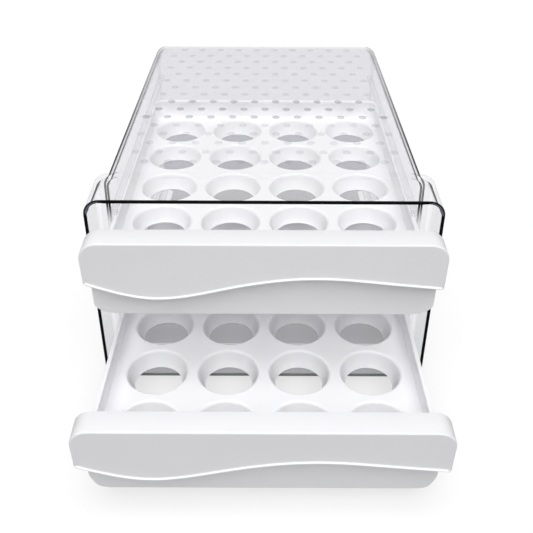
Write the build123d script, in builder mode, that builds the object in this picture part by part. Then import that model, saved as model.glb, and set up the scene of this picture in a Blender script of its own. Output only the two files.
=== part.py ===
"""Two-drawer egg holder: a clear case with a flared mouth, and two white drawers with egg cups.

Millimetres. +Z is up, +Y runs to the rear of the case, and the origin is at the middle of the case's
underside. The drawers are shown pulled out, the lower one further than the upper one.
"""
import os
from math import cos, pi, radians, sin, tan

from build123d import *

# Egg cups, alike in both drawers
columns = 4
rows = 5
cup_gap = 4.7
throat_diameter = 32.0
cup_depth = 12.5
cup_wall = 1.6
cup_sides = 22

# Case: a body whose sides lean out towards the base and draw in towards the rear, behind a wider collar
case_depth = 274.0
case_height = 150.0
case_wall = 2.2
floor_thickness = 2.6
body_radius = 9.5
body_lean = 1.8
body_taper = 1.2
collar_top_width = 225.0
step_width = 8.5
collar_lean = 1.0
collar_depth = 34.0
collar_radius = 11.0

# Runners moulded on the case's side walls, one ledge and one guide for each drawer
run_gap = 0.3
side_gap = 0.4
ledge_reach = 6.0
ledge_thickness = 2.5
guide_reach = 4.0
guide_thickness = 2.0
guide_gap = 2.2
tooth_depth = 1.8
tooth_length = 4.0
rear_stop_height = 6.0
runner_room = 6.0

# Drawer levels, and how far each drawer is pulled out as shown
lower_deck_z = 32.2
deck_spacing = 71.4
lower_pull = 118.3
upper_pull = 41.6
full_travel = 190.0

# Tray
deck_thickness = 2.0
tray_wall = 2.0
side_height = 15.0
rim_width = 3.0
rim_height = 2.5
rim_overhang = 0.5
skirt_depth = 15.7
side_margin = 8.0
front_margin = 34.7
rear_margin = 29.5
rear_room = 11.1
tray_corner = 8.0
upstand_height = 36.0
foot_radius = 12.0
foot_run = 14.0
nub_height = 1.8
nub_length = 6.0
nub_width = 2.4

# Drawer front, a cap over the tray's front wall
cap_margin = 5.0
cap_height = 42.5
cap_depth = 15.9
cap_corner = 11.4
cap_bevel = 0.6
cap_lead = 8.3
cap_skin = 2.2
lip_height = 1.6
lip_proud = 2.0
rib_width = 2.0
rib_height = 14.3
grip_clearance = 0.15
seat_clearance = 0.4

# Lower edge of the drawer front above the deck, and where its turns lie as shares of half the front's width
wave_left = 14.5
wave_trough = 3.4
wave_middle = 11.3
wave_crest = 18.4
wave_shoulder = 15.4
wave_right = 11.4
trough_share = -0.642
middle_share = -0.186
crest_share = 0.298
shoulder_share = 0.65

# Worked out from the sizes above
mouth_y = -case_depth / 2
rear_y = case_depth / 2
step_y = mouth_y + collar_depth
upper_deck_z = lower_deck_z + deck_spacing
body_top_width = collar_top_width - 2 * step_width
cap_width = collar_top_width - 2 * cap_margin
column_pitch = (body_top_width - 2 * side_margin) / columns
grid_length = case_depth - cap_lead - front_margin - rear_margin - rear_room
row_pitch = grid_length / (rows - 1)
rim_diameter = column_pitch - cup_gap


def body_half(y: float, z: float) -> float:
    """Half of the body's outside width at a depth and height."""
    lean = (case_height - z) * tan(radians(body_lean))
    draw = (y - step_y) * tan(radians(body_taper))
    return body_top_width / 2 + lean - draw


def collar_half(z: float) -> float:
    """Half of the collar's outside width at a height."""
    return collar_top_width / 2 + (case_height - z) * tan(radians(collar_lean))


def tray_half(deck_z: float, closed_y: float) -> float:
    """Half of a tray's width over its rims, at the depth where that place lies in the closed drawer."""
    return body_half(closed_y, deck_z + side_height) - case_wall - side_gap


def first_row_y(pull: float) -> float:
    """Depth of the front row of cups in a drawer that is pulled out by this much."""
    return mouth_y + cap_lead + front_margin - pull


def collar_section(inset: float, low: float, high: float, radius: float) -> Sketch:
    """Rounded section of the collar across its depth, drawn inside its side walls by the inset."""
    with BuildSketch(Plane.XZ.offset(-mouth_y)) as section:
        with BuildLine():
            high_half = collar_half(high) - inset
            low_half = collar_half(low) - inset
            Polyline((-low_half, low), (low_half, low), (high_half, high), (-high_half, high), close=True)
        make_face()
        fillet(section.vertices(), radius)
    return section.sketch


def body_block(inset: float, start_y: float, low: float, high: float) -> Part:
    """Solid block inside the case's body: sides on the leaning, tapered side planes, drawn in by the inset."""
    block_width = 2 * body_half(mouth_y, 0)
    with BuildPart() as block:
        with Locations((0, start_y, low)):
            Box(block_width, rear_y - inset - start_y, high - low, align=(Align.CENTER, Align.MIN, Align.MIN))
        for side in (1, -1):
            foot = (side * body_half(step_y, 0), step_y, 0)
            outward = (side, tan(radians(body_taper)), tan(radians(body_lean)))
            split(bisect_by=Plane(origin=foot, z_dir=outward).offset(-inset), keep=Keep.BOTTOM)
        long_edges = block.edges().filter_by(lambda edge: abs((edge @ 1 - edge @ 0).normalized().Y) > 0.9)
        rear_edges = block.faces().sort_by(Axis.Y)[-1].edges()
        fillet(long_edges + rear_edges, body_radius - inset)
    return block.part


def strips(z: float, y_from: float, y_to: float, reach: float) -> Sketch:
    """A strip along each side wall of the body, rooted in the wall and reaching inwards."""
    with BuildSketch(Plane.XY.offset(z)) as pair:
        root_from = body_half(y_from, z) - case_wall / 2
        root_to = body_half(y_to, z) - case_wall / 2
        width = reach + case_wall / 2
        with BuildLine():
            Polyline((root_from - width, y_from), (root_from, y_from), (root_to, y_to),
                     (root_to - width, y_to), close=True)
        make_face()
        mirror(about=Plane.YZ)
    return pair.sketch


# Case
roof_z = case_height - case_wall
step_front_y = step_y - case_wall

with BuildPart() as case:
    add(body_block(0, step_front_y, 0, case_height))
    extrude(collar_section(0, 0, case_height, collar_radius), amount=-collar_depth)
    extrude(collar_section(case_wall, floor_thickness, roof_z, collar_radius - case_wall),
            amount=case_wall - collar_depth, mode=Mode.SUBTRACT)
    add(body_block(case_wall, step_front_y - case_wall, floor_thickness, roof_z), mode=Mode.SUBTRACT)
    for deck_z in (lower_deck_z, upper_deck_z):
        ledge_top = deck_z - skirt_depth - run_gap
        guide_z = deck_z + side_height + guide_gap
        runner_end = rear_y - runner_room
        tray_end = first_row_y(0) + grid_length + rear_margin
        extrude(strips(ledge_top - ledge_thickness, step_front_y, runner_end, ledge_reach),
                amount=ledge_thickness)
        extrude(strips(guide_z, step_front_y, runner_end, guide_reach), amount=guide_thickness)
        extrude(strips(guide_z - tooth_depth, step_front_y, step_front_y + tooth_length, guide_reach),
                amount=tooth_depth)
        extrude(strips(ledge_top, tray_end + run_gap, runner_end, ledge_reach), amount=rear_stop_height)
case.part.label = "case"


def tray_plan(deck_z: float, pull: float, side: float, front: float, rear: float, radius: float) -> Sketch:
    """Plan of a tray, drawn in by the given amounts from its rims, its front face and its rear face."""
    front_y = first_row_y(pull) - front_margin + front
    back_y = first_row_y(pull) + grid_length + rear_margin - rear
    front_half = tray_half(deck_z, front_y + pull) - side
    back_half = tray_half(deck_z, back_y + pull) - side
    with BuildSketch() as plan:
        with BuildLine():
            Polyline((-front_half, front_y), (front_half, front_y), (back_half, back_y),
                     (-back_half, back_y), close=True)
        make_face()
        fillet(plan.vertices(), radius)
    return plan.sketch


def cup_corners(wall: float) -> list:
    """Corners of a tapered cup with flat sides, its rim at the origin, widened by the wall."""
    corners = []
    for radius, z in ((rim_diameter / 2 + wall, 0), (throat_diameter / 2 + wall, -cup_depth)):
        for side in range(cup_sides):
            turn = 2 * pi * (side + 0.5) / cup_sides
            corners.append((radius * cos(turn), radius * sin(turn), z))
    return corners


def make_tray(deck_z: float, pull: float) -> Part:
    """Egg tray: deck with open cups, rimmed walls, skirt, and the upstand that carries the front."""
    front_y = first_row_y(pull) - front_margin
    back_y = first_row_y(pull) + grid_length + rear_margin
    wall_inner = rim_overhang + tray_wall
    wall_corner = tray_corner - rim_overhang
    front_half = tray_half(deck_z, front_y + pull) - rim_overhang
    foot_z = deck_z - skirt_depth
    with BuildPart() as tray:
        with BuildSketch(Plane.XY.offset(foot_z)):
            add(tray_plan(deck_z, pull, rim_overhang, 0, rim_overhang, wall_corner))
            add(tray_plan(deck_z, pull, wall_inner, tray_wall, wall_inner, wall_corner - tray_wall),
                mode=Mode.SUBTRACT)
        extrude(amount=skirt_depth + side_height)
        with BuildSketch(Plane.XY.offset(deck_z - deck_thickness)):
            add(tray_plan(deck_z, pull, rim_overhang, 0, rim_overhang, wall_corner))
        extrude(amount=deck_thickness)
        with BuildSketch(Plane.XY.offset(deck_z + side_height - rim_height)):
            add(tray_plan(deck_z, pull, 0, 0, 0, tray_corner))
            add(tray_plan(deck_z, pull, rim_width, tray_wall, rim_width, tray_corner - rim_width),
                mode=Mode.SUBTRACT)
        extrude(amount=rim_height)
        # Upstand inside the drawer front
        with BuildSketch(Plane.XZ.offset(-front_y)) as upstand:
            with Locations((0, deck_z)):
                Rectangle(2 * (front_half - tray_corner), upstand_height, align=(Align.CENTER, Align.MIN))
            fillet(upstand.vertices().group_by(Axis.Y)[-1], cap_corner - cap_skin)
        extrude(amount=-tray_wall)
        # Cups, with flat sides all round to keep the solid light
        with Locations((0, first_row_y(pull) + grid_length / 2, deck_z)):
            with GridLocations(column_pitch, row_pitch, columns, rows):
                ConvexPolyhedron(cup_corners(cup_wall))
                ConvexPolyhedron(cup_corners(0), mode=Mode.SUBTRACT)
        # Rounded feet of the finger recess, cut back into the skirt
        with BuildSketch(Plane.XZ.offset(-front_y)):
            with Locations((front_half, foot_z), (-front_half, foot_z)):
                Rectangle(2 * foot_radius, 2 * foot_radius)
            with Locations((front_half - foot_radius, foot_z + foot_radius),
                           (foot_radius - front_half, foot_z + foot_radius)):
                Circle(foot_radius, mode=Mode.SUBTRACT)
        extrude(amount=-foot_run, mode=Mode.SUBTRACT)
        # Nubs on the rims that meet the case's teeth when the drawer is fully out
        nub_y = step_front_y + tooth_length + run_gap + full_travel - pull
        nub_x = tray_half(deck_z, nub_y + pull) - rim_width / 2
        with Locations((nub_x, nub_y, deck_z + side_height), (-nub_x, nub_y, deck_z + side_height)):
            Box(nub_width, nub_length, nub_height, align=(Align.CENTER, Align.MIN, Align.MIN))
    return tray.part


def wave(deck_z: float) -> list:
    """Points of the waved lower edge of a drawer front, from left to right."""
    cap_half = cap_width / 2
    return [
        (-cap_half, deck_z + wave_left),
        (trough_share * cap_half, deck_z + wave_trough),
        (middle_share * cap_half, deck_z + wave_middle),
        (crest_share * cap_half, deck_z + wave_crest),
        (shoulder_share * cap_half, deck_z + wave_shoulder),
        (cap_half, deck_z + wave_right),
    ]


def make_front(deck_z: float, pull: float) -> Part:
    """Drawer front: a hollow cap with a waved lower edge and lip, gripping the tray's upstand."""
    tray_front_y = first_row_y(pull) - front_margin
    face_y = tray_front_y - cap_lead
    back_y = face_y + cap_depth
    top_z = deck_z + cap_height
    inner_half = cap_width / 2 - cap_skin
    low_edge = wave(deck_z)
    with BuildPart() as cap:
        with BuildSketch(Plane.XZ.offset(-face_y)) as outline:
            with BuildLine():
                Spline(*low_edge)
                Polyline(low_edge[-1], (cap_width / 2, top_z), (-cap_width / 2, top_z), low_edge[0])
            make_face()
            fillet(outline.vertices().group_by(Axis.Y)[-1], cap_corner)
        extrude(amount=-cap_depth)
        face_edges = cap.faces().sort_by(Axis.Y)[0].edges()
        chamfer(face_edges.filter_by(GeomType.BSPLINE, reverse=True), cap_bevel)
        # Hollow, open below
        with BuildSketch(Plane.XZ.offset(-face_y - cap_skin)) as hollow:
            with Locations((0, top_z - cap_skin)):
                Rectangle(2 * inner_half, cap_height + cap_skin, align=(Align.CENTER, Align.MAX))
            fillet(hollow.vertices().group_by(Axis.Y)[-1], cap_corner - cap_skin)
        extrude(amount=2 * cap_skin - cap_depth, mode=Mode.SUBTRACT)
        # Rear skin down to the deck between the tray's side walls, with room for the rims
        rim_half = tray_half(deck_z, back_y + pull)
        with BuildSketch(Plane.XZ.offset(cap_skin - back_y)):
            with Locations((0, deck_z + seat_clearance)):
                Rectangle(2 * (rim_half - rim_width - seat_clearance), cap_height / 2,
                          align=(Align.CENTER, Align.MIN))
        extrude(amount=-cap_skin)
        with BuildSketch(Plane.XZ.offset(cap_skin - back_y)):
            notch_inner = rim_half - rim_width - seat_clearance
            notch_width = inner_half - notch_inner
            for side in (1, -1):
                with Locations((side * (notch_inner + notch_width / 2), deck_z + side_height + seat_clearance)):
                    Rectangle(notch_width, side_height, align=(Align.CENTER, Align.MAX))
        extrude(amount=-cap_skin, mode=Mode.SUBTRACT)
        # Ribs that grip the upstand
        with BuildSketch(Plane.XZ.offset(-face_y - cap_skin)):
            with Locations((0, top_z - cap_skin)):
                with GridLocations(column_pitch, 0, columns, 1):
                    Rectangle(rib_width, rib_height, align=(Align.CENTER, Align.MAX))
        extrude(amount=2 * cap_skin - cap_depth)
        with BuildSketch(Plane.XZ.offset(grip_clearance - tray_front_y)):
            with Locations((0, deck_z + upstand_height)):
                Rectangle(2 * inner_half, upstand_height, align=(Align.CENTER, Align.MAX))
        extrude(amount=-tray_wall - 2 * grip_clearance, mode=Mode.SUBTRACT)
        # Lip along the wave
        with BuildSketch(Plane.XZ.offset(lip_proud - face_y)):
            with BuildLine():
                high_edge = [(x, z + lip_height) for x, z in low_edge]
                Spline(*low_edge)
                Line(low_edge[-1], high_edge[-1])
                Spline(*reversed(high_edge))
                Line(high_edge[0], low_edge[0])
            make_face()
        extrude(amount=-lip_proud - cap_skin)
    return cap.part


# Trays and fronts
upper_tray = make_tray(upper_deck_z, upper_pull)
upper_tray.label = "upper_tray"
lower_tray = make_tray(lower_deck_z, lower_pull)
lower_tray.label = "lower_tray"
upper_front = make_front(upper_deck_z, upper_pull)
upper_front.label = "upper_front"
lower_front = make_front(lower_deck_z, lower_pull)
lower_front.label = "lower_front"

# Files
os.makedirs("parts", exist_ok=True)
export_step(case.part, "parts/case.step")
export_step(upper_tray, "parts/upper_tray.step")
export_step(upper_front, "parts/upper_front.step")
export_step(lower_tray, "parts/lower_tray.step")
export_step(lower_front, "parts/lower_front.step")
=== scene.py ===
"""Dresses the two-drawer egg holder: clear case, white egg trays and waved drawer fronts.

Shapes are worked out in millimetres in the part's own frame and put into metres when a mesh is made.
"""
import logging
from dataclasses import dataclass
from enum import Enum, IntEnum
from math import cos, pi, radians, sin, tan
from typing import Callable, Sequence

import bmesh
import bpy
import numpy as np
from mathutils import Matrix, Vector
from mathutils.geometry import delaunay_2d_cdt


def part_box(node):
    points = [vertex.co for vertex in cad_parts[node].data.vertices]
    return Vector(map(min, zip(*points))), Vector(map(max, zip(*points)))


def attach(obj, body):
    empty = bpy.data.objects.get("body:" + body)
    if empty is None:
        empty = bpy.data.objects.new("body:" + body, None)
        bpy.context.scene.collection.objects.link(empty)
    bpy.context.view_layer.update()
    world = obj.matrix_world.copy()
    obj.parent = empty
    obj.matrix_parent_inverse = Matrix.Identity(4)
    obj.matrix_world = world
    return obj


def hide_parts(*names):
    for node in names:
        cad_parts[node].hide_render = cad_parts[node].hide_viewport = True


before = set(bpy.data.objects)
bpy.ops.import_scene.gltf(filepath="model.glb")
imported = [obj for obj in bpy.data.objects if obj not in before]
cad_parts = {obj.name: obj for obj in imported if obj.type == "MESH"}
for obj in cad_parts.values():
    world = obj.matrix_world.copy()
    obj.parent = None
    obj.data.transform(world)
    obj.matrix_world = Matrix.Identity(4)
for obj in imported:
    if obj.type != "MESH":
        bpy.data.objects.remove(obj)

LOG = logging.getLogger("egg_holder")
MM = 0.001
MERGE_MM = 0.002
BEND = "bend"
FLAT_DIGITS = 4  # decimals of a millimetre that a flat panel's points are rounded to
FLAT_EPSILON = 1e-7
ARC_WEIGHT = 0.7071  # makes a quadratic Bezier arc of 90 degrees round
STYRENE_IOR = 1.59
SHARP = 40.0  # degrees past which an edge between faces stays sharp
TAPER = 1.2  # degrees by which the case and the trays narrow towards the rear
Place = Callable[[np.ndarray], np.ndarray]


class Slot(Enum):
    """The record's material slots."""

    CLEAR = "clear_case"
    TRAY = "white_tray"
    FRONT = "white_front"


class Zone(IntEnum):
    """Parts of the case's shell that differ in finish and in painted shade, by material number."""

    CLEAR = 0
    EDGE = 1
    FOOT = 2
    FLOOR = 3
    REAR = 4
    STEP = 5


STEP_ZONES = [Zone.CLEAR] * 5 + [Zone.STEP] + [Zone.FOOT] * 5


def node_box(node: str) -> tuple[np.ndarray, np.ndarray]:
    """Lowest and highest corner of a CAD node in millimetres.

    Args:
        node: Name of the node.

    Returns:
        The two corners.
    """
    low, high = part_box(node)
    return np.array(low) / MM, np.array(high) / MM


def smooth(t: np.ndarray) -> np.ndarray:
    """Smooth step: 3t^2 - 2t^3 between 0 and 1."""
    t = np.clip(t, 0.0, 1.0)
    return t * t * (3.0 - 2.0 * t)


def quarter(start: tuple[float, float], corner: tuple[float, float], end: tuple[float, float],
            steps: int) -> np.ndarray:
    """Rounding between two points that bends towards a corner, as a quadratic Bezier arc.

    Args:
        start: First point.
        corner: Point where the two straight sides would meet.
        end: Last point.
        steps: Number of intervals.

    Returns:
        Points on the rounding, ends included.
    """
    t = np.linspace(0.0, 1.0, steps + 1)[:, None]
    a, c, b = np.array(start), np.array(corner), np.array(end)
    top = (1 - t) ** 2 * a + 2 * ARC_WEIGHT * t * (1 - t) * c + t ** 2 * b
    return top / ((1 - t) ** 2 + 2 * ARC_WEIGHT * t * (1 - t) + t ** 2)


@dataclass
class Outline:
    """Closed loop of points in a plane, counter-clockwise, that can be drawn in or widened.

    A point at a distance d inside the loop is anchor + max(radius - d, 0) * out + max(d - radius, 0) * mitre,
    so a rounded corner tightens to a sharp one and never crosses itself.
    """

    anchor: np.ndarray
    radius: np.ndarray
    out: np.ndarray
    mitre: np.ndarray
    bend: np.ndarray

    @staticmethod
    def join(parts: Sequence["Outline"]) -> "Outline":
        """One loop from stretches in order."""
        return Outline(*(np.concatenate([getattr(part, name) for part in parts])
                         for name in ("anchor", "radius", "out", "mitre", "bend")))

    def inside(self, distance: float | np.ndarray) -> np.ndarray:
        """Points of the loop drawn in.

        Args:
            distance: How far, or one distance for each point; below 0 it widens the loop.

        Returns:
            The points.
        """
        d = np.broadcast_to(distance, self.radius.shape)
        arc = np.maximum(self.radius - d, 0.0)[:, None] * self.out
        sharp = np.maximum(d - self.radius, 0.0)[:, None] * self.mitre
        return self.anchor + arc + sharp


def inward(tangent: np.ndarray) -> np.ndarray:
    """Unit normal to the left of each tangent, which is inwards on a counter-clockwise loop."""
    length = np.linalg.norm(tangent, axis=-1, keepdims=True)
    unit = tangent / length
    return np.stack([-unit[..., 1], unit[..., 0]], axis=-1)


def stretch(points: np.ndarray) -> Outline:
    """Part of a loop that follows given points, with normals from the differences between neighbours."""
    count = len(points)
    zero = np.zeros((count, 2))
    return Outline(points, np.zeros(count), zero, inward(np.gradient(points, axis=0)), np.zeros(count))


def corner(point: np.ndarray, before: np.ndarray, after: np.ndarray, radius: float, steps: int) -> Outline:
    """Rounded corner of a loop between two sides.

    Args:
        point: Where the two sides would meet.
        before: Inward normal of the side before the corner.
        after: Inward normal of the side after the corner.
        radius: Radius of the rounding.
        steps: Number of intervals on the rounding.

    Returns:
        The corner's points, whose centre lies on the mitre line.
    """
    mitre = (before + after) / (1.0 + before @ after)
    t = np.linspace(0.0, 1.0, steps + 1)
    turn = np.arccos(np.clip(before @ after, -1.0, 1.0)) * t
    hand = -1.0 if before[0] * after[1] - before[1] * after[0] < 0 else 1.0
    across = hand * np.array([-before[1], before[0]])
    out = -(np.cos(turn)[:, None] * before + np.sin(turn)[:, None] * across)
    count = steps + 1
    return Outline(np.tile(point + radius * mitre, (count, 1)), np.full(count, radius), out,
                   np.tile(mitre, (count, 1)), np.sin(pi * t))


def crowded(steps: int) -> np.ndarray:
    """Shares along a side, without its ends, that crowd towards both ends: half of 1 - cos."""
    return 0.5 - 0.5 * np.cos(pi * np.arange(1, steps) / steps)


def side(start: np.ndarray, end: np.ndarray, shares: np.ndarray) -> Outline:
    """Straight stretch of a loop, with points at the given shares of the way from start to end."""
    run = stretch(start + shares[:, None] * (end - start))
    run.mitre = np.tile(inward(end - start), (len(shares), 1))
    return run


def chain(stretches: Sequence[Outline], shares: Sequence[np.ndarray]) -> Outline:
    """Closes stretches into a loop with straight sides between them.

    Args:
        stretches: Parts of the loop in order.
        shares: Where the points of the side after each part lie; none where the next part follows at once.

    Returns:
        The loop, from the first part on.
    """
    parts = []
    for here, following, places in zip(stretches, [*stretches[1:], stretches[0]], shares):
        parts.append(here)
        if len(places):
            parts.append(side(here.inside(0.0)[-1], following.inside(0.0)[0], places))
    return Outline.join(parts)


def eased(x: float | np.ndarray, y: float | np.ndarray, before: tuple[int, int], after: tuple[int, int],
          size: float = 0.5, cut: float = 0.15) -> list[tuple]:
    """Three points that ease a profile's right-angled corner.

    Args:
        x: Place of the corner, or one for each point of a loop.
        y: Its level, or one for each point of a loop.
        before: Direction from the corner back along the profile.
        after: Direction from the corner on along the profile.
        size: How far from the corner the profile leaves it and meets it again.
        cut: How far the middle point lies from the corner in each direction.

    Returns:
        The points in order.
    """
    (bx, by), (ax, ay) = before, after
    return [(x + size * bx, y + size * by), (x + cut * (bx + ax), y + cut * (by + ay)),
            (x + size * ax, y + size * ay)]


def rounded_polygon(corners: Sequence[tuple[float, float]], radii: Sequence[float], arc_steps: int,
                    shares: Sequence[np.ndarray]) -> Outline:
    """Counter-clockwise polygon with rounded corners.

    Args:
        corners: Sharp corners.
        radii: Radius at each corner.
        arc_steps: Intervals on each corner.
        shares: For each side, where its points lie between its two rounded corners.

    Returns:
        The loop, from the first corner on.
    """
    points = np.array(corners, float)
    normal = inward(np.roll(points, -1, axis=0) - points)
    return chain([corner(point, normal[i - 1], normal[i], radii[i], arc_steps)
                  for i, point in enumerate(points)], shares)


def blended(loop: Outline, share: np.ndarray, profile: Sequence[tuple], other: Sequence[tuple]
            ) -> list[tuple[np.ndarray, np.ndarray]]:
    """Sweeps a profile round a loop, with another profile where the share is 1.

    Args:
        loop: The loop to follow.
        share: For each point of the loop, how far the other profile takes over.
        profile: Pairs of distance inside the loop and level across its plane.
        other: As many pairs of the other profile.

    Returns:
        For each pair, the points in the loop's plane and their levels.
    """
    rows = []
    for (offset, level), (other_offset, other_level) in zip(profile, other):
        flat = loop.inside(offset + (other_offset - offset) * share)
        rows.append((flat, np.broadcast_to(level + (other_level - level) * share, share.shape)))
    return rows


def contains(loop: np.ndarray, points: np.ndarray) -> np.ndarray:
    """Even-odd test: a level line from a point inside crosses the loop an odd number of times.

    Args:
        loop: The closed loop.
        points: The points to test.

    Returns:
        True for each point inside.
    """
    x, y = points[:, 0][:, None], points[:, 1][:, None]
    x0, y0 = loop[:, 0][None], loop[:, 1][None]
    x1, y1 = np.roll(x0, -1, axis=1), np.roll(y0, -1, axis=1)
    spans = (y0 > y) != (y1 > y)
    rise = np.where(y1 == y0, 1.0, y1 - y0)
    return (spans & (x < (x1 - x0) * (y - y0) / rise + x0)).sum(axis=1) % 2 == 1


def on_plan(z: float) -> Place:
    """Places plan points (x, y) at a height."""
    return lambda p: np.column_stack([p[:, 0], p[:, 1], np.full(len(p), z)])


def on_elevation(y: float) -> Place:
    """Places elevation points (x, z) at a depth."""
    return lambda p: np.column_stack([p[:, 0], np.full(len(p), y), p[:, 1]])


class Shell:
    """Gathers grids and flat panels of one piece, and makes them into a closed mesh."""

    def __init__(self) -> None:
        """Starts with no surfaces."""
        self.points: list[np.ndarray] = []
        self.faces: list[np.ndarray] = []
        self.zones: list[np.ndarray] = []
        self.bends: list[np.ndarray] = []
        self.count = 0

    def add(self, points: np.ndarray, faces: np.ndarray, zone: int | np.ndarray = 0,
            bend: float | np.ndarray = 0.0) -> None:
        """Adds points in millimetres, with faces of one kind that index them.

        Args:
            points: Corner points.
            faces: Corner numbers of each face.
            zone: Material number of the faces.
            bend: How far round a corner each point lies, from 0 on a flat to 1 in the middle.
        """
        self.points.append(points)
        self.faces.append(faces + self.count)
        self.zones.append(np.broadcast_to(zone, len(faces)))
        self.bends.append(np.broadcast_to(bend, len(points)))
        self.count += len(points)

    def grid(self, points: np.ndarray, zone: int | np.ndarray = 0, bend: float | np.ndarray = 0.0) -> None:
        """Adds a grid of quads whose rows are loops.

        Args:
            points: Rows by columns by three.
            zone: Material number, or one for each face by bands and columns.
            bend: One value, or one for each point by rows and columns.
        """
        rows, columns = points.shape[:2]
        index = np.arange(rows * columns).reshape(rows, columns)
        ahead = np.roll(index, -1, axis=1)
        quads = np.stack([index[:-1], ahead[:-1], ahead[1:], index[1:]], axis=-1)
        zones = np.broadcast_to(zone, quads.shape[:2])
        bends = np.broadcast_to(bend, (rows, columns))
        self.add(points.reshape(-1, 3), quads.reshape(-1, 4), zones.ravel(), bends.ravel())

    def panel(self, outer: np.ndarray, place: Place, holes: Sequence[np.ndarray] = (), zone: int = 0) -> None:
        """Adds a flat panel inside a loop and outside its holes, as a constrained triangulation.

        Args:
            outer: Outer loop in the panel's plane.
            place: Puts plane points into space.
            holes: Loops of the holes.
            zone: Material number.
        """
        loops = [np.round(loop, FLAT_DIGITS) for loop in (outer, *holes)]
        flat, where = np.unique(np.concatenate(loops), axis=0, return_inverse=True)
        where = where.ravel()
        edges, start = [], 0
        for loop in loops:
            ids = where[start:start + len(loop)]
            pairs = np.stack([ids, np.roll(ids, -1)], axis=1)
            edges.append(pairs[pairs[:, 0] != pairs[:, 1]])
            start += len(loop)
        made = delaunay_2d_cdt([Vector(p) for p in flat.tolist()], np.concatenate(edges).tolist(), [], 0,
                               FLAT_EPSILON)
        points = np.array([tuple(p) for p in made[0]])
        faces = np.array(made[2])
        middle = points[faces].mean(axis=1)
        keep = contains(loops[0], middle)
        for hole in loops[1:]:
            keep &= ~contains(hole, middle)
        self.add(place(points), faces[keep], zone)

    def slab(self, outline: Outline, plane: Callable[[float], Place], start: float, end: float,
             edge: float) -> None:
        """Adds a closed plate between two levels, with rounded rims.

        Args:
            outline: Loop in the plane.
            plane: Gives the plane at a level, on_plan or on_elevation.
            start: Level of its first face.
            end: Level of its last face.
            edge: Radius of its rims.
        """
        first = quarter((edge, start), (0.0, start), (0.0, start + edge), 3)
        last = quarter((0.0, end - edge), (0.0, end), (edge, end), 3)
        margin = edge * 1.4
        profile = np.concatenate([[(margin, start)], first, last, [(margin, end)]])
        self.grid(np.array([plane(level)(outline.inside(d)) for d, level in profile]))
        for level in (start, end):
            self.panel(outline.inside(margin), plane(level))

    def build(self, name: str, finishes: Sequence[bpy.types.Material]) -> bpy.types.Object:
        """Makes the object: merges what touches, points faces outwards and sets smooth shading.

        Args:
            name: Name of the piece.
            finishes: Materials, by zone number.

        Returns:
            The finished object, at the origin.
        """
        mesh = bpy.data.meshes.new(name)
        faces = [face for block in self.faces for face in block.tolist()]
        mesh.from_pydata(np.concatenate(self.points) * MM, [], faces)
        mesh.polygons.foreach_set("material_index", np.concatenate(self.zones).astype(np.int32))
        bend = mesh.attributes.new(BEND, "FLOAT", "POINT")
        bend.data.foreach_set("value", np.concatenate(self.bends).astype(np.float32))
        work = bmesh.new()
        work.from_mesh(mesh)
        bmesh.ops.remove_doubles(work, verts=work.verts, dist=MERGE_MM * MM)
        bmesh.ops.dissolve_degenerate(work, edges=work.edges, dist=MERGE_MM * MM * 0.1)
        bmesh.ops.recalc_face_normals(work, faces=work.faces)
        open_edges = sum(1 for edge in work.edges if not edge.is_manifold)
        work.to_mesh(mesh)
        work.free()
        mesh.polygons.foreach_set("use_smooth", np.ones(len(mesh.polygons), bool))
        mesh.set_sharp_from_angle(angle=radians(SHARP))
        for finish in finishes:
            mesh.materials.append(finish)
        made = bpy.data.objects.new(name, mesh)
        bpy.context.scene.collection.objects.link(made)
        LOG.info("%s: %d faces, %d open edges", name, len(mesh.polygons), open_edges)
        return made


def linear(code: str) -> tuple[float, float, float, float]:
    """Linear colour of an sRGB hex code such as F4F5F9."""
    values = [int(code[i:i + 2], 16) / 255 for i in (0, 2, 4)]
    red, green, blue = ((v / 12.92 if v <= 0.04045 else ((v + 0.055) / 1.055) ** 2.4) for v in values)
    return red, green, blue, 1.0


class Finish:
    """A node material, or a sky, under construction."""

    def __init__(self, name: str, collection: str = "materials") -> None:
        """Starts an empty node tree in a new block.

        Args:
            name: Name of the block.
            collection: The collection of Blender's data that the block is made in.
        """
        self.block = getattr(bpy.data, collection).new(name)
        self.block.use_nodes = True
        self.tree = self.block.node_tree
        self.tree.nodes.clear()

    def node(self, kind: str, inputs: dict | None = None, **settings: object
             ) -> bpy.types.bpy_prop_collection:
        """Adds a node.

        Args:
            kind: Type name of the node, without its first word.
            inputs: Input name or number to the output socket that feeds it, or to its value.
            settings: Properties of the node.

        Returns:
            The outputs of the new node.
        """
        made = self.tree.nodes.new("ShaderNode" + kind)
        for name, value in settings.items():
            setattr(made, name, value)
        for name, value in (inputs or {}).items():
            if isinstance(value, bpy.types.NodeSocket):
                self.tree.links.new(value, made.inputs[name])
            else:
                made.inputs[name].default_value = value
        return made.outputs

    def done(self, surface: bpy.types.NodeSocket) -> bpy.types.Material | bpy.types.World:
        """Feeds the output with a shader and returns the material or the sky."""
        self.node("OutputWorld" if isinstance(self.block, bpy.types.World) else "OutputMaterial",
                  {"Surface": surface})
        return self.block


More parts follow.
